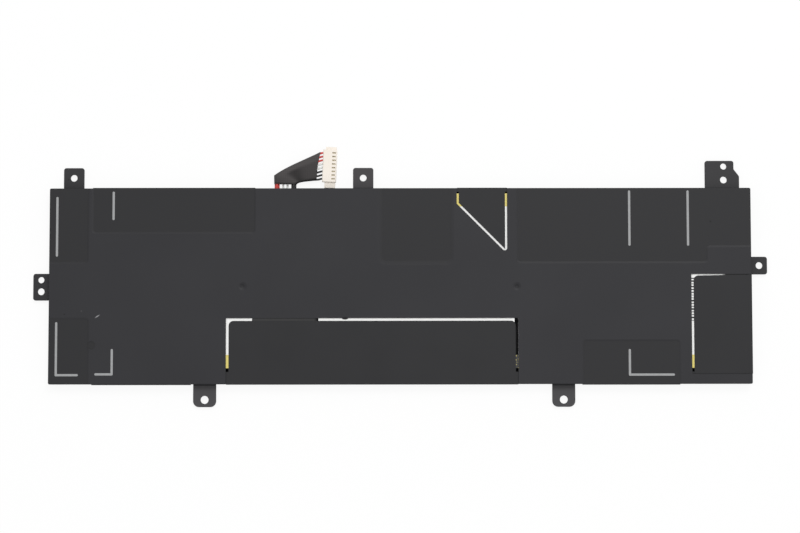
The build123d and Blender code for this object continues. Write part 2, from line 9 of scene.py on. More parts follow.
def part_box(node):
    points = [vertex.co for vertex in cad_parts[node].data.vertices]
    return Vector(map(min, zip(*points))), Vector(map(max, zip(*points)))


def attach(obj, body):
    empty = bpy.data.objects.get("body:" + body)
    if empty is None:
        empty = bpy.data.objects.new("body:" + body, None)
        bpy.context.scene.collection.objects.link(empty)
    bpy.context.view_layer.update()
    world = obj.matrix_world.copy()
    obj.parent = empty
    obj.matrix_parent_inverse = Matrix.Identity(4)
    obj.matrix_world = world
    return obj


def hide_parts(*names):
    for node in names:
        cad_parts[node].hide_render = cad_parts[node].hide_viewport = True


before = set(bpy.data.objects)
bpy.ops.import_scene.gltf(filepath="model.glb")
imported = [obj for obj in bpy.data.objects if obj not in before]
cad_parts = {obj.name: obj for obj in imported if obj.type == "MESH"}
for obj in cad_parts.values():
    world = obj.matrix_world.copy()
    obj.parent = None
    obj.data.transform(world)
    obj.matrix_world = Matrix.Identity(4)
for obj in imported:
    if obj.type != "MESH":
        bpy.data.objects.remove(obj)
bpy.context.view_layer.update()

# Tray. Black polycarbonate, injection moulded in one piece: a thin floor, walls, a hollow rail and screw
# ears. The mould was spark eroded, so the face has a fine even grain. The ears are a little smoother.

MM = 0.001
FACE_DARK = "#29292c"
FACE_PALE = "#303033"
STEP_COLOUR = "#29292b"
# The ears are painted paler than the face. This is partly their own tone and partly painted light that lifts
# the shade the walls cast on them; the rail side ears are painted paler still
EAR_MIDDLE_WITH_PAINTED_LIGHT = "#413f41"
EAR_END_WITH_PAINTED_LIGHT = "#2e2e30"
EAR_RAIL_PAINTED_LIGHT = "#454446"
# The ears' tone changes between these distances from the middle, and begins this far off the walls
EAR_NEAR = 40.0
EAR_FAR = 145.0
EAR_CLEAR = 0.4
STEP_FLOOR = 5.35
GRAIN = 0.35
GRAIN_STRENGTH = 0.3
GRAIN_DEPTH = 0.03
MOTTLE = 34.0
FACE_ROUGHNESS = 0.52
EAR_ROUGHNESS = 0.44
# The sloped rim that the mould's gate pins leave round their two dimples
GATE_PLACES = ((-62.9, -0.1), (46.7, -0.2))
GATE_RIM = 1.7
GATE_SINK = 0.5
# Each scuff: its place, its turn, its half sizes and its tone
SCUFFS = (
    ((-121.0, -12.1, 5.5), 33.0, (1.4, 0.3, 1.0), "#a8a8aa"),
    ((-134.2, -11.3, 5.5), 0.0, (0.5, 0.4, 1.0), "#0c0c0d"),
    ((-127.4, -10.0, 5.5), 0.0, (0.4, 0.4, 1.0), "#4e4e50"),
    ((-22.1, -12.7, 5.5), 0.0, (1.6, 0.5, 1.0), "#0c0c0d"),
    ((124.3, 25.7, 5.35), 0.0, (0.5, 0.5, 1.0), "#0c0c0d"),
    ((-133.6, 43.2, 1.9), 0.0, (0.4, 0.4, 1.0), "#0c0c0d"),
)


def linear(code):
    """A colour written as an sRGB hex value, as linear red, green, blue and alpha."""
    parts = [int(code[k:k + 2], 16) / 255 for k in (1, 3, 5)]
    return [c / 12.92 if c <= 0.04045 else ((c + 0.055) / 1.055) ** 2.4 for c in parts] + [1.0]


def per(size):
    """A pattern's scale, from the size in millimetres of what repeats in it."""
    return 1 / (size * MM)


def node(material, kind, settings, inputs):
    """A node with its settings. Each input takes a value, or a link from another node's output."""
    tree = material.node_tree
    made = tree.nodes.new("ShaderNode" + kind)
    for name, value in settings.items():
        setattr(made, name, value)
    for name, value in inputs.items():
        if isinstance(value, bpy.types.NodeSocket):
            tree.links.new(value, made.inputs[name])
        else:
            made.inputs[name].default_value = value
    return made


def start_material(name):
    """An empty material and the place on the piece that its patterns are laid out by."""
    made = bpy.data.materials.new(name)
    made.use_nodes = True
    made.node_tree.nodes.clear()
    return made, node(made, "TexCoord", {}, {}).outputs["Object"]


def surface(material, inputs):
    """The material's surface, from the inputs of its shader."""
    shader = node(material, "BsdfPrincipled", {}, inputs)
    node(material, "OutputMaterial", {}, {"Surface": shader.outputs["BSDF"]})


def dress(material, *names):
    """Give CAD nodes a material."""
    for name in names:
        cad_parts[name].data.materials.clear()
        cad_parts[name].data.materials.append(material)


# Grained polycarbonate: a soft broad sheen over near black, slightly mottled where the melt flowed
polycarbonate, place = start_material("black_polycarbonate_grained")
axes = node(polycarbonate, "SeparateXYZ", {}, {"Vector": place})
mottle = node(polycarbonate, "TexNoise", {}, {"Vector": place, "Scale": per(MOTTLE), "Detail": 2.0})
face = node(
    polycarbonate,
    "MixRGB",
    {},
    {"Fac": mottle.outputs["Fac"], "Color1": linear(FACE_DARK), "Color2": linear(FACE_PALE)},
)
rise = node(
    polycarbonate,
    "MapRange",
    {},
    {"Value": axes.outputs["Z"], "From Min": STEP_FLOOR * MM, "From Max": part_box("tray")[1].z},
)
tone = node(
    polycarbonate,
    "MixRGB",
    {},
    {"Fac": rise.outputs["Result"], "Color1": linear(STEP_COLOUR), "Color2": face.outputs["Color"]},
)
along = node(polycarbonate, "Math", {"operation": "ABSOLUTE"}, {0: axes.outputs["X"]})
across = node(polycarbonate, "Math", {"operation": "ABSOLUTE"}, {0: axes.outputs["Y"]})
past_end = node(
    polycarbonate,
    "Math",
    {"operation": "GREATER_THAN"},
    {0: along.outputs["Value"], 1: EAR_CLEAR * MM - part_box("rear_film")[0].x},
)
past_side = node(
    polycarbonate,
    "Math",
    {"operation": "GREATER_THAN"},
    {0: across.outputs["Value"], 1: EAR_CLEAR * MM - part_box("rear_film")[0].y},
)
on_ear = node(
    polycarbonate,
    "Math",
    {"operation": "MAXIMUM"},
    {0: past_end.outputs["Value"], 1: past_side.outputs["Value"]},
)
out = node(
    polycarbonate,
    "MapRange",
    {},
    {"Value": along.outputs["Value"], "From Min": EAR_NEAR * MM, "From Max": EAR_FAR * MM},
)
ear_tone_and_painted_light = node(
    polycarbonate,
    "MixRGB",
    {},
    {"Fac": out.outputs["Result"], "Color1": linear(EAR_MIDDLE_WITH_PAINTED_LIGHT), "Color2": linear(EAR_END_WITH_PAINTED_LIGHT)},
)
# Painted light: the rail side ears, which lie deepest in the rail wall's shade, are painted paler
on_rail = node(
    polycarbonate,
    "Math",
    {"operation": "LESS_THAN"},
    {0: axes.outputs["Y"], 1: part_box("rear_film")[0].y - EAR_CLEAR * MM},
)
ear_tone_and_painted_light = node(
    polycarbonate,
    "MixRGB",
    {},
    {"Fac": on_rail.outputs["Value"], "Color1": ear_tone_and_painted_light.outputs["Color"], "Color2": linear(EAR_RAIL_PAINTED_LIGHT)},
)
tone = node(
    polycarbonate,
    "MixRGB",
    {},
    {"Fac": on_ear.outputs["Value"], "Color1": tone.outputs["Color"], "Color2": ear_tone_and_painted_light.outputs["Color"]},
)
for middle, turn, half, colour in SCUFFS:
    mapped = node(
        polycarbonate,
        "Mapping",
        {"vector_type": "TEXTURE"},
        {
            "Vector": place,
            "Location": Vector(middle) * MM,
            "Rotation": (0, 0, math.radians(turn)),
            "Scale": Vector(half) * MM,
        },
    )
    spot = node(
        polycarbonate, "TexGradient", {"gradient_type": "SPHERICAL"}, {"Vector": mapped.outputs["Vector"]}
    )
    tone = node(
        polycarbonate,
        "MixRGB",
        {},
        {"Fac": spot.outputs["Fac"], "Color1": tone.outputs["Color"], "Color2": linear(colour)},
    )
dishes = []
for x, y in GATE_PLACES:
    mapped = node(
        polycarbonate,
        "Mapping",
        {"vector_type": "TEXTURE"},
        {
            "Vector": place,
            "Location": (x * MM, y * MM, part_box("tray")[1].z),
            "Scale": [GATE_RIM * MM] * 3,
        },
    )
    dish = node(
        polycarbonate, "TexGradient", {"gradient_type": "SPHERICAL"}, {"Vector": mapped.outputs["Vector"]}
    )
    dishes.append(dish)
sunk = node(
    polycarbonate, "Math", {"operation": "ADD"}, {0: dishes[0].outputs["Fac"], 1: dishes[1].outputs["Fac"]}
)
dished = node(
    polycarbonate, "Bump", {"invert": True}, {"Height": sunk.outputs["Value"], "Distance": GATE_SINK * MM}
)
grain = node(polycarbonate, "TexNoise", {}, {"Vector": place, "Scale": per(GRAIN), "Detail": 4.0})
grained = node(
    polycarbonate,
    "Bump",
    {},
    {
        "Height": grain.outputs["Fac"],
        "Strength": GRAIN_STRENGTH,
        "Distance": GRAIN_DEPTH * MM,
        "Normal": dished.outputs["Normal"],
    },
)
rough = node(
    polycarbonate,
    "MapRange",
    {},
    {"Value": on_ear.outputs["Value"], "To Min": FACE_ROUGHNESS, "To Max": EAR_ROUGHNESS},
)
surface(
    polycarbonate,
    {
        "Base Color": tone.outputs["Color"],
        "Roughness": rough.outputs["Result"],
        "IOR": 1.58,
        "Specular IOR Level": 0.2,
        "Normal": grained.outputs["Normal"],
    },
)
dress(polycarbonate, "tray")

# Alignment marks. Grey ink, pad printed on the face in straight strokes and corners. They show where two
# pads of the computer's case come to lie.

INK_DARK = "#929394"
INK_PALE = "#a5a6a7"
INK_DRIFT = 1.2
UNEVEN_STRENGTH = 0.3
UNEVEN_DEPTH = 0.02


def flecked(name, dark, pale, size, inputs):
    """A finish whose colour drifts between two tones over a length in millimetres, with a bump to match."""
    made, place = start_material(name)
    drift = node(made, "TexNoise", {}, {"Vector": place, "Scale": per(size), "Detail": 3.0})
    shade = node(
        made, "MixRGB", {}, {"Fac": drift.outputs["Fac"], "Color1": linear(dark), "Color2": linear(pale)}
    )
    uneven = node(
        made,
        "Bump",
        {},
        {"Height": drift.outputs["Fac"], "Strength": UNEVEN_STRENGTH, "Distance": UNEVEN_DEPTH * MM},
    )
    surface(made, {"Base Color": shade.outputs["Color"], "Normal": uneven.outputs["Normal"], **inputs})
    return made


# Pad printing ink: matt, and a little thinner in places, where the dark plastic shows through
ink = flecked("grey_printing_ink", INK_DARK, INK_PALE, INK_DRIFT, {"Roughness": 0.6})
dress(ink, "alignment_marks")

# Cells. Three lithium pouch cells: a wound stack in a deep-drawn aluminium laminate, heat sealed round its
# rim. They lie side by side in the tray.

CELL_NAMES = ("left", "middle", "right")
FOIL_DARK = "#b9bbbe"
FOIL_PALE = "#d4d6d9"
FOIL_DRIFT = 9.0

# Laminate foil: dull silver, with the slow waves of a sheet that was drawn into a cup
foil = flecked(
    "pouch_aluminium_laminate", FOIL_DARK, FOIL_PALE, FOIL_DRIFT, {"Metallic": 1.0, "Roughness": 0.38}
)
dress(foil, *["cell_" + name for name in CELL_NAMES])

# Cell tabs. Thin strips of rolled aluminium, two to a cell. They come out of its sealed rim and are spot
# welded to the nickel plates of the board.

TAB_DARK = "#c2c2c4"
TAB_PALE = "#dededf"
TAB_DRIFT = 0.5

# Rolled aluminium: bright grey, slightly streaked
tab_metal = flecked("rolled_aluminium", TAB_DARK, TAB_PALE, TAB_DRIFT, {"Metallic": 1.0, "Roughness": 0.34})
for end in ("negative", "positive"):
    dress(tab_metal, *[end + "_tab_" + name for name in CELL_NAMES])

# Insulating sheets. White polyester film, die-cut and stuck on each cell, between its foil and the tray. The
# tray's slots show them.

SHEET_DARK = "#f4f4f2"
SHEET_PALE = "#fdfdfc"
SHEET_DRIFT = 2.5
SHEET_END_PAINTED_SHADE = "#070707"
END_SHADE_START = 128.6
END_SHADE_FADE = 1.6
FLECK_PLACE = (-22.1, -13.0)
FLECK_HALF = (1.5, 0.6)
FLECK_COLOUR = "#070707"
FLECK_EDGE = 3.0

# White filled polyester: clean, even and half matt. Its outer end is painted black as painted shade, and
# there is one dark spot at the edge of the upper slot
sheet_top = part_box("insulating_sheet_right")[1].z / MM
white_film, place = start_material("white_polyester_film")
axes = node(white_film, "SeparateXYZ", {}, {"Vector": place})
drift = node(white_film, "TexNoise", {}, {"Vector": place, "Scale": per(SHEET_DRIFT), "Detail": 3.0})
white = node(
    white_film,
    "MixRGB",
    {},
    {"Fac": drift.outputs["Fac"], "Color1": linear(SHEET_DARK), "Color2": linear(SHEET_PALE)},
)
# Painted shade: past x = 128.6 mm the sheet's outer end is painted near black
end_shade_mask = node(
    white_film,
    "MapRange",
    {},
    {
        "Value": axes.outputs["X"],
        "From Min": END_SHADE_START * MM,
        "From Max": (END_SHADE_START + END_SHADE_FADE) * MM,
    },
)
end_shaded = node(
    white_film,
    "MixRGB",
    {},
    {"Fac": end_shade_mask.outputs["Result"], "Color1": white.outputs["Color"], "Color2": linear(SHEET_END_PAINTED_SHADE)},
)
mapped = node(
    white_film,
    "Mapping",
    {"vector_type": "TEXTURE"},
    {
        "Vector": place,
        "Location": Vector((*FLECK_PLACE, sheet_top)) * MM,
        "Scale": Vector((*FLECK_HALF, 1.0)) * MM,
    },
)
fleck = node(
    white_film, "TexGradient", {"gradient_type": "SPHERICAL"}, {"Vector": mapped.outputs["Vector"]}
)
soiled = node(
    white_film,
    "Math",
    {"operation": "MULTIPLY", "use_clamp": True},
    {0: fleck.outputs["Fac"], 1: FLECK_EDGE},
)
sheet_tone = node(
    white_film,
    "MixRGB",
    {},
    {"Fac": soiled.outputs["Value"], "Color1": end_shaded.outputs["Color"], "Color2": linear(FLECK_COLOUR)},
)
surface(white_film, {"Base Color": sheet_tone.outputs["Color"], "Roughness": 0.5})
dress(white_film, *["insulating_sheet_" + name for name in CELL_NAMES])

# Print on the right sheet. Plain dashes of black ink, printed on the film. They show in the slot beside the
# right flap.

DASH_COUNT = 16
DASH_PITCH = 1.12
DASH_LENGTH = 0.46
DASH_CHANGE = 0.22
DASH_WIDTH = 1.5
DASH_HEIGHT = 0.015
DASH_EDGE = 0.004
DASH_X = 116.85
DASH_TOP = 2.9
PRINT_DARK = "#1a1a1b"
PRINT_PALE = "#2d2d2e"


def add_piece(name, bm, material, slot, *stands_for):
    """A finished mesh as a piece of the pack, with its material and the CAD nodes that it stands for."""
    mesh = bpy.data.meshes.new(name)
    bm.to_mesh(mesh)
    bm.free()
    mesh.materials.append(material)
    made = bpy.data.objects.new(name, mesh)
    bpy.context.scene.collection.objects.link(made)
    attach(made, "root")
    if stands_for:
        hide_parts(*stands_for)
    return made


# Offset ink: black and matt, with a slightly ragged tone
black_ink = flecked("black_printing_ink", PRINT_DARK, PRINT_PALE, INK_DRIFT, {"Roughness": 0.6})
bm = bmesh.new()
for k in range(DASH_COUNT):
    middle = Vector((DASH_X, DASH_TOP - k * DASH_PITCH, sheet_top + DASH_HEIGHT / 2)) * MM
    length = DASH_LENGTH + DASH_CHANGE * math.sin(k * k)
    size = Matrix.Diagonal(Vector((DASH_WIDTH, length, DASH_HEIGHT)) * MM).to_4x4()
    bmesh.ops.create_cube(bm, size=1.0, matrix=Matrix.Translation(middle) @ size)
bmesh.ops.bevel(
    bm, geom=bm.edges[:], offset=DASH_EDGE * MM, affect="EDGES", segments=1, profile=0.5, material=-1
)
add_piece("sheet_print", bm, black_ink, "grey_ink")

# Tapes. Yellow polyimide tape ties the cells along the rail and covers the board. One short black tape
# bridges the seam of two cells.

TAPE_YELLOW = "#e6d97c"
TAPE_AMBER = "#dcc65a"
TAPE_GAP_PAINTED_SHADE = "#0f0e0c"
TAPE_DRIFT = 3.0
SPECK = 0.5
SPECK_INNER = 0.2
SPECK_OUTER = 0.34
SPECK_DARKNESS = 0.35
BLACK_TAPE_DARK = "#19191a"
BLACK_TAPE_PALE = "#232324"
TAPE_END_PAINTED_SHADE = "#020202"
TAPE_SHINE = 0.5
END_SHADE_LENGTH = 1.8

# Polyimide tape: glossy yellow on the white sheets. Over the gap between two cells nothing backs it, and
# there it is painted dark as painted shade, with a few painted yellow flecks of light.
polyimide, place = start_material("polyimide_tape")
axes = node(polyimide, "SeparateXYZ", {}, {"Vector": place})
drift = node(polyimide, "TexNoise", {}, {"Vector": place, "Scale": per(TAPE_DRIFT), "Detail": 2.0})
yellow = node(
    polyimide,
    "MixRGB",
    {},
    {"Fac": drift.outputs["Fac"], "Color1": linear(TAPE_AMBER), "Color2": linear(TAPE_YELLOW)},
)
gap_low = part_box("cell_middle")[1].x
gap_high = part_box("cell_right")[0].x
along = node(polyimide, "Math", {"operation": "ABSOLUTE"}, {0: axes.outputs["X"]})
on_gap = node(
    polyimide,
    "Math",
    {"operation": "COMPARE"},
    {0: along.outputs["Value"], 1: (gap_low + gap_high) / 2, 2: (gap_high - gap_low) / 2},
)
specks = node(polyimide, "TexVoronoi", {}, {"Vector": place, "Scale": per(SPECK * 2), "Randomness": 1.0})
speckled = node(
    polyimide,
    "MapRange",
    {},
    {
        "Value": specks.outputs["Distance"],
        "From Min": SPECK_INNER,
        "From Max": SPECK_OUTER,
        "To Min": SPECK_DARKNESS,
        "To Max": 1.0,
    },
)
# Painted shade: over the gap the tape is painted near black, broken by painted flecks of yellow light
gap_painted_shade = node(
    polyimide, "Math", {"operation": "MULTIPLY"}, {0: on_gap.outputs["Value"], 1: speckled.outputs["Result"]}
)
tape_tone = node(
    polyimide,
    "MixRGB",
    {},
    {"Fac": gap_painted_shade.outputs["Value"], "Color1": yellow.outputs["Color"], "Color2": linear(TAPE_GAP_PAINTED_SHADE)},
)
surface(polyimide, {"Base Color": tape_tone.outputs["Color"], "Roughness": 0.3, "IOR": 1.7})
dress(polyimide, "cell_tape", "board_tape")

# Black polyester tape: smooth, with a low gloss. Its right end is painted black and its gloss fades out
# there, as painted shade.
black_tape, place = start_material("black_polyester_tape")
axes = node(black_tape, "SeparateXYZ", {}, {"Vector": place})
drift = node(black_tape, "TexNoise", {}, {"Vector": place, "Scale": per(TAPE_DRIFT), "Detail": 3.0})
tape_black = node(
    black_tape,
    "MixRGB",
    {},
    {"Fac": drift.outputs["Fac"], "Color1": linear(BLACK_TAPE_DARK), "Color2": linear(BLACK_TAPE_PALE)},
)
tape_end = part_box("seam_tape")[1].x
# Painted shade: over its last 1.8 mm the tape darkens to near black and loses its gloss
end_painted_shade = node(
    black_tape,
    "MapRange",
    {},
    {"Value": axes.outputs["X"], "From Min": tape_end - END_SHADE_LENGTH * MM, "From Max": tape_end},
)
tape_shade = node(
    black_tape,
    "MixRGB",
    {},
    {"Fac": end_painted_shade.outputs["Result"], "Color1": tape_black.outputs["Color"], "Color2": linear(TAPE_END_PAINTED_SHADE)},
)
tape_shine = node(
    black_tape, "MapRange", {}, {"Value": end_painted_shade.outputs["Result"], "To Min": TAPE_SHINE, "To Max": 0.0}
)
surface(
    black_tape,
    {
        "Base Color": tape_shade.outputs["Color"],
        "Roughness": 0.45,
        "Specular IOR Level": tape_shine.outputs["Result"],
    },
)
dress(black_tape, "seam_tape")

# Adhesive pads. Double-sided acrylic film, cut to shape and laid on the sheets. It holds the cells to the
# tray's floor.

PAD_DARK = "#d9d9d2"
PAD_PALE = "#ecece6"
PAD_DRIFT = 4.0

# Acrylic adhesive: milky and slick
acrylic = flecked("acrylic_adhesive", PAD_DARK, PAD_PALE, PAD_DRIFT, {"Roughness": 0.28})
dress(acrylic, *["adhesive_pad_" + name for name in CELL_NAMES])

# Circuit board. A narrow green laminate along the lead edge, with six nickel weld plates, eight solder pads
# and the parts that guard the cells, all soldered on its upper side.

MASK_DARK = "#17522c"
MASK_PALE = "#1f6b3a"
MASK_DRIFT = 2.0
NICKEL_DARK = "#b5b0a6"
NICKEL_PALE = "#d0cbc1"
SOLDER_DARK = "#c2c3c5"
SOLDER_PALE = "#dcdddf"
EPOXY_DARK = "#222223"
EPOXY_PALE = "#2f2f30"
FUSE_DARK = "#cfc9b8"
FUSE_PALE = "#e2dccb"
CAPACITOR_DARK = "#90693c"
CAPACITOR_PALE = "#ab8456"
FINE_DRIFT = 0.4

# Solder mask over glass laminate: glossy green, with the weave just felt under it
mask = flecked("green_solder_mask", MASK_DARK, MASK_PALE, MASK_DRIFT, {"Roughness": 0.32})
dress(mask, "circuit_board")
# Nickel strip: a warm satin grey
nickel = flecked("nickel_strip", NICKEL_DARK, NICKEL_PALE, FINE_DRIFT, {"Metallic": 1.0, "Roughness": 0.36})
dress(nickel, "weld_plates")
# Reflowed solder: bright and rippled
solder = flecked(
    "reflowed_solder", SOLDER_DARK, SOLDER_PALE, FINE_DRIFT, {"Metallic": 1.0, "Roughness": 0.24}
)
dress(solder, "wire_pads")
# Moulded epoxy of chip packages: matt and faintly gritty
epoxy = flecked("moulded_epoxy", EPOXY_DARK, EPOXY_PALE, FINE_DRIFT, {"Roughness": 0.62})
dress(epoxy, "gauge_chip", "power_switches", "sense_resistor")
# Fired ceramic: pale and chalky on the fuse, brown on the capacitors
fuse_ceramic = flecked("fuse_ceramic", FUSE_DARK, FUSE_PALE, FINE_DRIFT, {"Roughness": 0.5})
dress(fuse_ceramic, "fuse")
capacitor_ceramic = flecked(
    "capacitor_ceramic", CAPACITOR_DARK, CAPACITOR_PALE, FINE_DRIFT, {"Roughness": 0.45}
)
dress(capacitor_ceramic, "capacitors")

# Board foam. A strip of grey polyurethane foam between the board and its tape, cut to the bay and laid in.
# It keeps the board from moving.

FOAM_DARK = "#4a4a4b"
FOAM_PALE = "#626263"
FOAM_CELL = 0.35

# Open foam: dull, with fine cells
foam = flecked("grey_polyurethane_foam", FOAM_DARK, FOAM_PALE, FOAM_CELL, {"Roughness": 0.92})
dress(foam, "board_foam")

# Wires. Eight stranded leads in soft vinyl: three red, two pale signal wires and three black. They are
# soldered to the board and leave under the lead wall.

RED_DARK = "#d63f3a"
RED_PALE = "#e9514a"
WHITE_DARK = "#eceee9"
WHITE_PALE = "#f8faf6"
BLACK_DARK = "#151516"
BLACK_PALE = "#202021"
VINYL_DRIFT = 1.5

# Extruded vinyl: smooth, with a soft gloss along each wire
VINYL = {"Roughness": 0.38, "IOR": 1.53}
red_vinyl = flecked("red_vinyl", RED_DARK, RED_PALE, VINYL_DRIFT, VINYL)
dress(red_vinyl, "red_wire_1", "red_wire_2", "red_wire_3")
white_vinyl = flecked("white_vinyl", WHITE_DARK, WHITE_PALE, VINYL_DRIFT, VINYL)
dress(white_vinyl, "signal_wire_1", "signal_wire_2")
black_vinyl = flecked("black_vinyl", BLACK_DARK, BLACK_PALE, VINYL_DRIFT, VINYL)
dress(black_vinyl, "black_wire_1", "black_wire_2", "black_wire_3")

# Lead wrap. Black acetate cloth tape, wound flat round the eight wires while they turn from the exit to the
# plug. Its last turn ends in an edge along the top.

WRAP_RING = 48
# Powers below 1 that flatten the round ring across the lead and on its top
WRAP_ACROSS_POWER = 0.6
WRAP_TOP_POWER = 0.3
WRAP_START_OUTER = (-50.72, 41.28)
WRAP_CORNER = (-50.81, 44.75)
WRAP_OUTER_HANDLES = ((-45.6, 48.6), (-37.6, 51.45))
WRAP_OUTER_END = (-32.13, 54.3)
WRAP_START_INNER = (-41.57, 41.2)
WRAP_INNER_HANDLES = ((-41.2, 41.95), (-39.5, 42.25))
WRAP_INNER_END = (-33.72, 42.7)
WRAP_STRAIGHT = 3
WRAP_STATIONS = 22
WRAP_TAPE = 0.15
WRAP_CROWN = 0.28
WRAP_CROWN_PLACE = 0.36
WRAP_WRINKLE = 0.1
WRAP_WRINKLE_SIZE = 3.5
WRAP_END_BOW = 0.3
# The strip that the last turn covers along the outer edge, and the hollow inside the bend
STRIP_WIDTH = 0.24
STRIP_BLEND = 0.08
STRIP_LIFT = 0.12
HOLLOW_PLACE = 0.45
HOLLOW_REACH = 0.17
HOLLOW_DEPTH = 0.2
# How much painted shade the cloth gets below the strip, in the hollow and near its start; the inner edge is
# painted dark where it turns under
BELOW_STRIP_PAINTED_SHADE = 0.3
HOLLOW_PAINTED_SHADE = 0.35
START_PAINTED_SHADE = 0.3
START_REACH = 0.28
FOLD_START = 0.2
FOLD_END = 0.38
UNDER_START = 0.88
UNDER_END = 0.98
# The cloth's colour in painted shade and in painted light
CLOTH_PAINTED_SHADE = "#121112"
CLOTH_PAINTED_LIGHT = "#4c4949"
THREAD = 0.45
THREAD_LOW = 0.85
THREAD_HIGH = 1.1
WEAVE_STRENGTH = 0.25
WEAVE_DEPTH = 0.04

# Acetate cloth: a fine plain weave, drawn coarser than it is so that it shows, with a dull silky sheen. Light
# and shade are painted into it from a vertex attribute: painted light along the strip at the outer edge, and
# painted shade below it, in the hollow, near the start and where it turns under.
cloth, place = start_material("black_acetate_cloth")
threads = []
for direction in ("X", "Y"):
    threads.append(
        node(
            cloth,
            "TexWave",
            {"bands_direction": direction},
            {"Vector": place, "Scale": per(THREAD) / math.tau, "Distortion": 0.4, "Detail": 1.0},
        )
    )
weave = node(
    cloth, "Math", {"operation": "MULTIPLY"}, {0: threads[0].outputs["Fac"], 1: threads[1].outputs["Fac"]}
)
thread_tone = node(
    cloth, "MapRange", {}, {"Value": weave.outputs["Value"], "To Min": THREAD_LOW, "To Max": THREAD_HIGH}
)
painted_light_and_shade = node(cloth, "Attribute", {"attribute_name": "painted_light_and_shade"}, {})
painted_paleness = node(
    cloth, "Math", {"operation": "MULTIPLY"}, {0: painted_light_and_shade.outputs["Fac"], 1: thread_tone.outputs["Result"]}
)
cloth_tone = node(
    cloth,
    "MixRGB",
    {},
    {"Fac": painted_paleness.outputs["Value"], "Color1": linear(CLOTH_PAINTED_SHADE), "Color2": linear(CLOTH_PAINTED_LIGHT)},
)
woven = node(
    cloth,
    "Bump",
    {},
    {"Height": weave.outputs["Value"], "Strength": WEAVE_STRENGTH, "Distance": WEAVE_DEPTH * MM},
)
surface(
    cloth,
    {
        "Base Color": cloth_tone.outputs["Color"],
        "Roughness": 0.65,
        "Specular IOR Level": 0.2,
        "Sheen Weight": 0.05,
        "Sheen Roughness": 0.5,
        "Normal": woven.outputs["Normal"],
    },
)


def along_curve(start, handles, end, count):
    """Points along one smooth curve, from its ends and its two handles."""
    return interpolate_bezier(
        Vector((*start, 0)), Vector((*handles[0], 0)), Vector((*handles[1], 0)), Vector((*end, 0)), count
    )


outer = []
for k in range(WRAP_STRAIGHT):
    outer.append(Vector((*WRAP_START_OUTER, 0)).lerp(Vector((*WRAP_CORNER, 0)), k / WRAP_STRAIGHT))
outer += along_curve(WRAP_CORNER, WRAP_OUTER_HANDLES, WRAP_OUTER_END, WRAP_STATIONS - WRAP_STRAIGHT)
inner = along_curve(WRAP_START_INNER, WRAP_INNER_HANDLES, WRAP_INNER_END, WRAP_STATIONS)
wrap_low, wrap_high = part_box("lead_wrap")
wrap_middle = (wrap_low.z + wrap_high.z) / 2 / MM
wrap_half = (wrap_high.z - wrap_low.z) / 2 / MM


def smoothstep(low, high, value):
    """A smooth rise from 0 at one value to 1 at another."""
    part = min(max((value - low) / (high - low), 0), 1)
    return part * part * (3 - 2 * part)


def fit_ring(ring, station):
    """Lay a round ring of vertices across the lead as a flat oval, crowned on top and a little wrinkled."""
    for vertex, (angle_cos, angle_sin) in ring.items():
        share = 0.5 - math.copysign(abs(angle_cos) ** WRAP_ACROSS_POWER, angle_cos) / 2
        spot = outer[station].lerp(inner[station], share)
        lift = math.copysign(abs(angle_sin) ** WRAP_TOP_POWER, angle_sin)
        spot.z = wrap_middle + wrap_half * lift
        along_lead = station / (WRAP_STATIONS - 1)
        below_strip = smoothstep(STRIP_WIDTH, STRIP_WIDTH + STRIP_BLEND, share)
        below_strip *= smoothstep(FOLD_START, FOLD_END, along_lead)
        from_hollow = (along_lead - HOLLOW_PLACE) / HOLLOW_REACH
        hollow = below_strip * math.exp(-from_hollow * from_hollow)
        turned_under = smoothstep(UNDER_START, UNDER_END, share)
        near_start = 1 - smoothstep(0, START_REACH, along_lead)
        if angle_sin > 0:
            crown = min(share / WRAP_CROWN_PLACE, (1 - share) / (1 - WRAP_CROWN_PLACE))
            spot.z += WRAP_CROWN * crown * lift - WRAP_CROWN / 2
            spot.z += WRAP_WRINKLE * noise.noise(spot / WRAP_WRINKLE_SIZE) * lift
            spot.z += (STRIP_LIFT * (1 - below_strip) - HOLLOW_DEPTH * hollow) * lift
        if station == WRAP_STATIONS - 1:
            spot.x -= WRAP_END_BOW * math.sin(math.pi * share)
        vertex.co = spot * MM
        # Painted light and shade, stored on each vertex: darker below the strip, in the hollow, near the
        # start and where the cloth turns under
        painted_shade = BELOW_STRIP_PAINTED_SHADE * below_strip + HOLLOW_PAINTED_SHADE * hollow + START_PAINTED_SHADE * near_start
        vertex[painted_light_layer] = (1 - painted_shade) * (1 - turned_under)


bm = bmesh.new()
painted_light_layer = bm.verts.layers.float.new("painted_light_and_shade")
bmesh.ops.create_circle(bm, segments=WRAP_RING, radius=1.0)
ring = {v: (v.co.x, v.co.y) for v in bm.verts}
edges = bm.edges[:]
fit_ring(ring, 0)
for station in range(1, WRAP_STATIONS):
    made = bmesh.ops.extrude_edge_only(bm, edges=edges)["geom"]
    fresh = [g for g in made if isinstance(g, bmesh.types.BMVert)]
    before = {v: [e.other_vert(v) for e in v.link_edges] for v in fresh}
    ring = {v: ring[o] for v in fresh for o in before[v] if o in ring}
    edges = [g for g in made if isinstance(g, bmesh.types.BMEdge) and ring.keys() >= set(g.verts)]
    fit_ring(ring, station)
bmesh.ops.recalc_face_normals(bm, faces=bm.faces[:])
for quad in bm.faces:
    quad.smooth = True
wrap = add_piece("lead_wrap_cloth", bm, cloth, "cloth_tape", "lead_wrap")
wall = wrap.modifiers.new("tape thickness", "SOLIDIFY")
wall.thickness = WRAP_TAPE * MM
wall.offset = -1.0

# Plug. Ivory nylon, moulded as a bar with a channel for each wire, a window over each contact and an ear at
# each end. The contacts are tinned brass, crimped on the wires and pushed in.

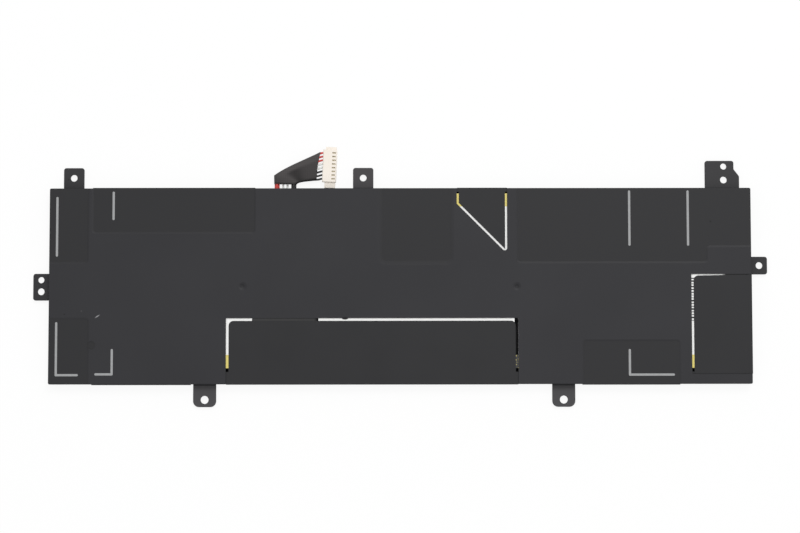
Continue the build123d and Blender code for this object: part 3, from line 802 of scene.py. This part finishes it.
PLUG_EDGE = 0.09
SHARP = 30.0
IVORY_DARK = "#f0e7db"
IVORY_PALE = "#f6eee4"
IVORY_DRIFT = 4.0
BRASS_DARK = "#cfc5a8"
BRASS_PALE = "#e6dfc8"


def cad_copy(name):
    """A copy of a CAD node's mesh with its triangles joined to whole faces, to be finished further."""
    copy = bmesh.new()
    copy.from_mesh(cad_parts[name].data)
    bmesh.ops.remove_doubles(copy, verts=copy.verts[:], dist=0.001 * MM)
    bmesh.ops.dissolve_limit(copy, angle_limit=math.radians(1), verts=copy.verts[:], edges=copy.edges[:])
    for layer in copy.loops.layers.float_vector.values():
        copy.loops.layers.float_vector.remove(layer)
    return copy


# Moulded nylon: warm white and waxy, with soft edges
nylon = flecked("ivory_nylon", IVORY_DARK, IVORY_PALE, IVORY_DRIFT, {"Roughness": 0.42, "IOR": 1.53})
bm = cad_copy("plug_housing")
corners = [e for e in bm.edges if e.is_manifold and e.calc_face_angle() > math.radians(SHARP)]
bmesh.ops.bevel(
    bm,
    geom=corners,
    offset=PLUG_EDGE * MM,
    affect="EDGES",
    segments=2,
    profile=0.5,
    material=-1,
    clamp_overlap=True,
)
add_piece("plug_body", bm, nylon, "ivory_nylon", "plug_housing")

# Tinned brass: pale yellow grey, with a soft shine
brass = flecked("tinned_brass", BRASS_DARK, BRASS_PALE, FINE_DRIFT, {"Metallic": 1.0, "Roughness": 0.36})
dress(brass, "plug_contacts")

# Rear film. Black polyester film, die-cut and glued over the open rear of the tray. Three flaps of it fold
# up over the edges and lie in the tray's openings, on the cells.

FOLD_ROUND = 0.13
FOLD_STEPS = 4
LEVEL = 0.005
FILM_DARK = "#252527"
FILM_PALE = "#2c2c2e"
FILM_GRAIN = 0.35
FILM_GRAIN_STRENGTH = 0.2
FILM_GRAIN_DEPTH = 0.02
FILM_WAVE = 16.0
FILM_WAVE_STRENGTH = 0.25
FILM_WAVE_DEPTH = 0.2
FILM_SLEEK = 0.45
FILM_MATT = 0.58

# Polyester film with a matt coat: a soft even sheen, broken by a fine grain and slow waves
black_film, place = start_material("black_polyester_film")
grain = node(black_film, "TexNoise", {}, {"Vector": place, "Scale": per(FILM_GRAIN), "Detail": 3.0})
wave = node(black_film, "TexNoise", {}, {"Vector": place, "Scale": per(FILM_WAVE), "Detail": 1.0})
film_tone = node(
    black_film,
    "MixRGB",
    {},
    {"Fac": wave.outputs["Fac"], "Color1": linear(FILM_DARK), "Color2": linear(FILM_PALE)},
)
waved = node(
    black_film,
    "Bump",
    {},
    {"Height": wave.outputs["Fac"], "Strength": FILM_WAVE_STRENGTH, "Distance": FILM_WAVE_DEPTH * MM},
)
rough = node(
    black_film, "MapRange", {}, {"Value": wave.outputs["Fac"], "To Min": FILM_SLEEK, "To Max": FILM_MATT}
)
grained = node(
    black_film,
    "Bump",
    {},
    {
        "Height": grain.outputs["Fac"],
        "Strength": FILM_GRAIN_STRENGTH,
        "Distance": FILM_GRAIN_DEPTH * MM,
        "Normal": waved.outputs["Normal"],
    },
)
surface(
    black_film,
    {
        "Base Color": film_tone.outputs["Color"],
        "Roughness": rough.outputs["Result"],
        "IOR": 1.57,
        "Specular IOR Level": 0.2,
        "Normal": grained.outputs["Normal"],
    },
)
film_low, film_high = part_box("rear_film")
bm = cad_copy("rear_film")
folds = []
for edge in bm.edges:
    a, b = (v.co / MM for v in edge.verts)
    on_side = any(
        abs(a[axis] - limit / MM) < LEVEL and abs(b[axis] - limit / MM) < LEVEL
        for axis, limit in ((0, film_high.x), (1, film_low.y), (1, film_high.y))
    )
    if on_side and abs(a.z - b.z) < LEVEL:
        folds.append(edge)
bmesh.ops.bevel(
    bm, geom=folds, offset=FOLD_ROUND * MM, affect="EDGES", segments=FOLD_STEPS, profile=0.5, material=-1
)
add_piece("rear_film_folded", bm, black_film, "black_film", "rear_film")

# Floor, light and camera. A white sheet under the pack, a soft white dome that is brightest overhead, one
# window high at the lead's side that draws the edges, and a long lens almost straight above.

FLOOR_SIZE = 8.0
FLOOR_DROP = 0.03
FLOOR_WHITE = "#fcfcfc"
SHADOW_KEPT = 0.1
HORIZON_LIGHT = 0.5
ZENITH_LIGHT = 0.9
WINDOW_PLACE = (0.3, 0.72, 1.25)
WINDOW_SIZE = 0.45
WINDOW_POWER = 6.5
FRAME_WIDTH = 800
FOCAL_PIXELS = 2000.0
SENSOR = 36.0
DISTANCE = 800.0
TILT = 3.856
ROLL = -0.06
TARGET = (-0.10, 7.72, 5.5)

mesh = bpy.data.meshes.new("floor")
bm = bmesh.new()
under = Matrix.Translation((0, 0, -FLOOR_DROP * MM))
bmesh.ops.create_grid(bm, x_segments=1, y_segments=1, size=FLOOR_SIZE / 2, matrix=under)
bm.to_mesh(mesh)
bm.free()
floor = bpy.data.objects.new("floor", mesh)
bpy.context.scene.collection.objects.link(floor)

# White paper: matt, and plain white to the camera but for a faint shadow
white_paper, place = start_material("white_paper")
matt = node(white_paper, "BsdfDiffuse", {}, {"Color": linear(FLOOR_WHITE)})
bright = node(white_paper, "Emission", {}, {"Color": linear("#ffffff"), "Strength": 1.0})
path = node(white_paper, "LightPath", {}, {})
direct = node(
    white_paper,
    "Math",
    {"operation": "MAXIMUM"},
    {0: path.outputs["Is Camera Ray"], 1: path.outputs["Is Glossy Ray"]},
)
seen = node(
    white_paper,
    "Math",
    {"operation": "MAXIMUM"},
    {0: direct.outputs["Value"], 1: path.outputs["Is Transmission Ray"]},
)
share = node(white_paper, "Math", {"operation": "MULTIPLY"}, {0: seen.outputs["Value"], 1: 1 - SHADOW_KEPT})
mixed = node(
    white_paper,
    "MixShader",
    {},
    {0: share.outputs["Value"], 1: matt.outputs["BSDF"], 2: bright.outputs["Emission"]},
)
node(white_paper, "OutputMaterial", {}, {"Surface": mixed.outputs["Shader"]})
floor.data.materials.append(white_paper)

world = bpy.data.worlds.new("white_dome")
world.use_nodes = True
world.node_tree.nodes.clear()
way_up = node(world, "TexCoord", {}, {}).outputs["Generated"]
rise = node(world, "SeparateXYZ", {}, {"Vector": way_up})
glow = node(
    world, "MapRange", {}, {"Value": rise.outputs["Z"], "To Min": HORIZON_LIGHT, "To Max": ZENITH_LIGHT}
)
sky = node(world, "Background", {}, {"Color": linear("#ffffff"), "Strength": glow.outputs["Result"]})
node(world, "OutputWorld", {}, {"Surface": sky.outputs["Background"]})
bpy.context.scene.world = world

window_data = bpy.data.lights.new("window", "AREA")
window_data.size = WINDOW_SIZE
window_data.energy = WINDOW_POWER
window = bpy.data.objects.new("window", window_data)
window.location = WINDOW_PLACE
window.rotation_euler = Vector(WINDOW_PLACE).to_track_quat("Z", "Y").to_euler()
bpy.context.scene.collection.objects.link(window)

camera_data = bpy.data.cameras.new("camera")
camera_data.sensor_width = SENSOR
camera_data.lens = FOCAL_PIXELS / FRAME_WIDTH * SENSOR
camera = bpy.data.objects.new("camera", camera_data)
bpy.context.scene.collection.objects.link(camera)
turn = Matrix.Rotation(math.radians(TILT), 4, "X") @ Matrix.Rotation(math.radians(ROLL), 4, "Z")
back = turn.to_3x3() @ Vector((0, 0, DISTANCE * MM))
camera.matrix_world = Matrix.Translation(Vector(TARGET) * MM + back) @ turn
bpy.context.scene.camera = camera
bpy.context.scene.view_settings.view_transform = "Standard"
